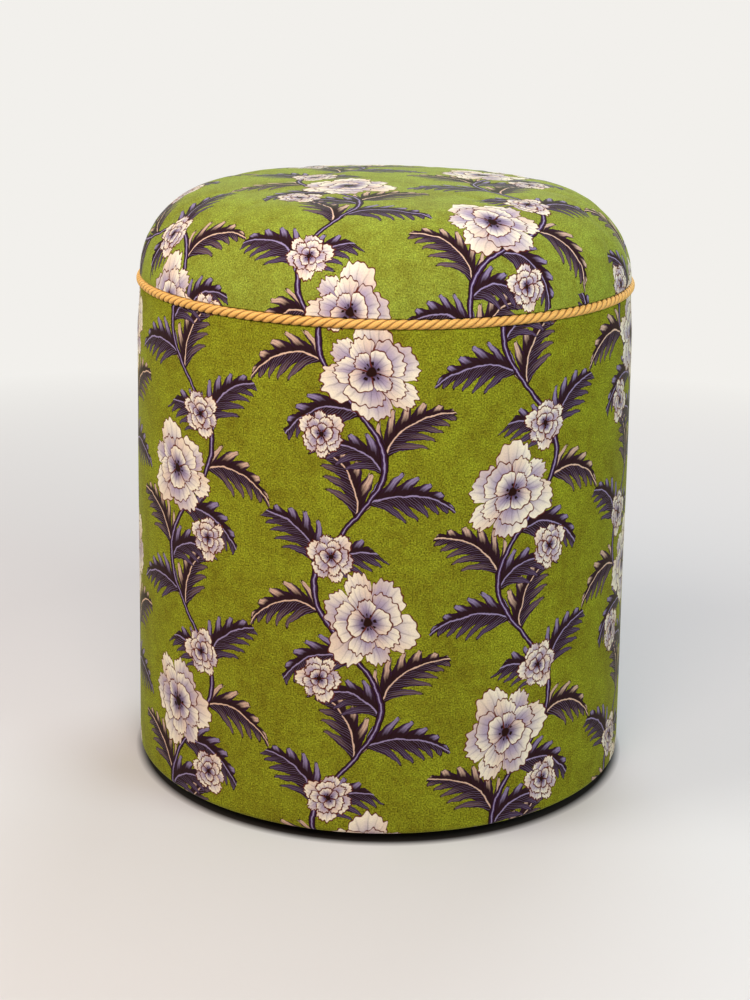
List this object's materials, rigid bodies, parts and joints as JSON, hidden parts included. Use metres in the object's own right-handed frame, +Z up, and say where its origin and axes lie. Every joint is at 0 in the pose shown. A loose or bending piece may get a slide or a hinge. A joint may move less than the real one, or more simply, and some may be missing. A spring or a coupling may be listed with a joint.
{
  "type": "tuffet",
  "caption": "Round upholstered tuffet: straight fabric-covered drum with a padded domed seat, a twisted cord in the joint between them and low hidden glides.",
  "frame": {"origin": "on the floor under the middle of the drum, level with the undersides of the glides", "axes": "+Z up along the drum's axis; -Y is the front and the side cover's upright seam is at +Y"},
  "size_m": [0.3812, 0.3812, 0.4525],
  "materials": {
    "plywood": "raw sawn birch plywood",
    "softwood": "raw planed pine",
    "foam": "open-cell polyurethane foam, cream",
    "wadding": "white polyester wadding",
    "velvet": "short-pile cotton velvet, printed with flowers and leaves on green",
    "cord_yarn": "twisted amber viscose cord, soft sheen",
    "tape": "woven cotton tape",
    "card": "stiff kraft upholstery card",
    "dust_cloth": "black spunbonded cloth",
    "nylon": "moulded black nylon, satin",
    "zinc_steel": "zinc-plated steel"
  },
  "bodies": {
    "root": {"back_tack_strip": "card", "base_board": "plywood", "batten_1": "softwood", "batten_2": "softwood", "batten_3": "softwood", "batten_4": "softwood", "batten_5": "softwood", "batten_6": "softwood", "cord_flange": "tape", "crown_pad": "foam", "drum_skin": "plywood", "dust_cover": "dust_cloth", "glide_1": "nylon", "glide_2": "nylon", "glide_3": "nylon", "glide_4": "nylon", "glide_screw_1": "zinc_steel", "glide_screw_2": "zinc_steel", "glide_screw_3": "zinc_steel", "glide_screw_4": "zinc_steel", "mid_hoop": "plywood", "screw_base_1": "zinc_steel", "screw_base_2": "zinc_steel", "screw_base_3": "zinc_steel", "screw_base_4": "zinc_steel", "screw_base_5": "zinc_steel", "screw_base_6": "zinc_steel", "screw_top_1": "zinc_steel", "screw_top_2": "zinc_steel", "screw_top_3": "zinc_steel", "screw_top_4": "zinc_steel", "screw_top_5": "zinc_steel", "screw_top_6": "zinc_steel", "seat_cover": "velvet", "seat_foam": "foam", "seat_wadding": "wadding", "side_cover": "velvet", "side_wrap_foam": "foam", "top_board": "plywood", "trim_cord": "cord_yarn"}
  },
  "joints": []
}
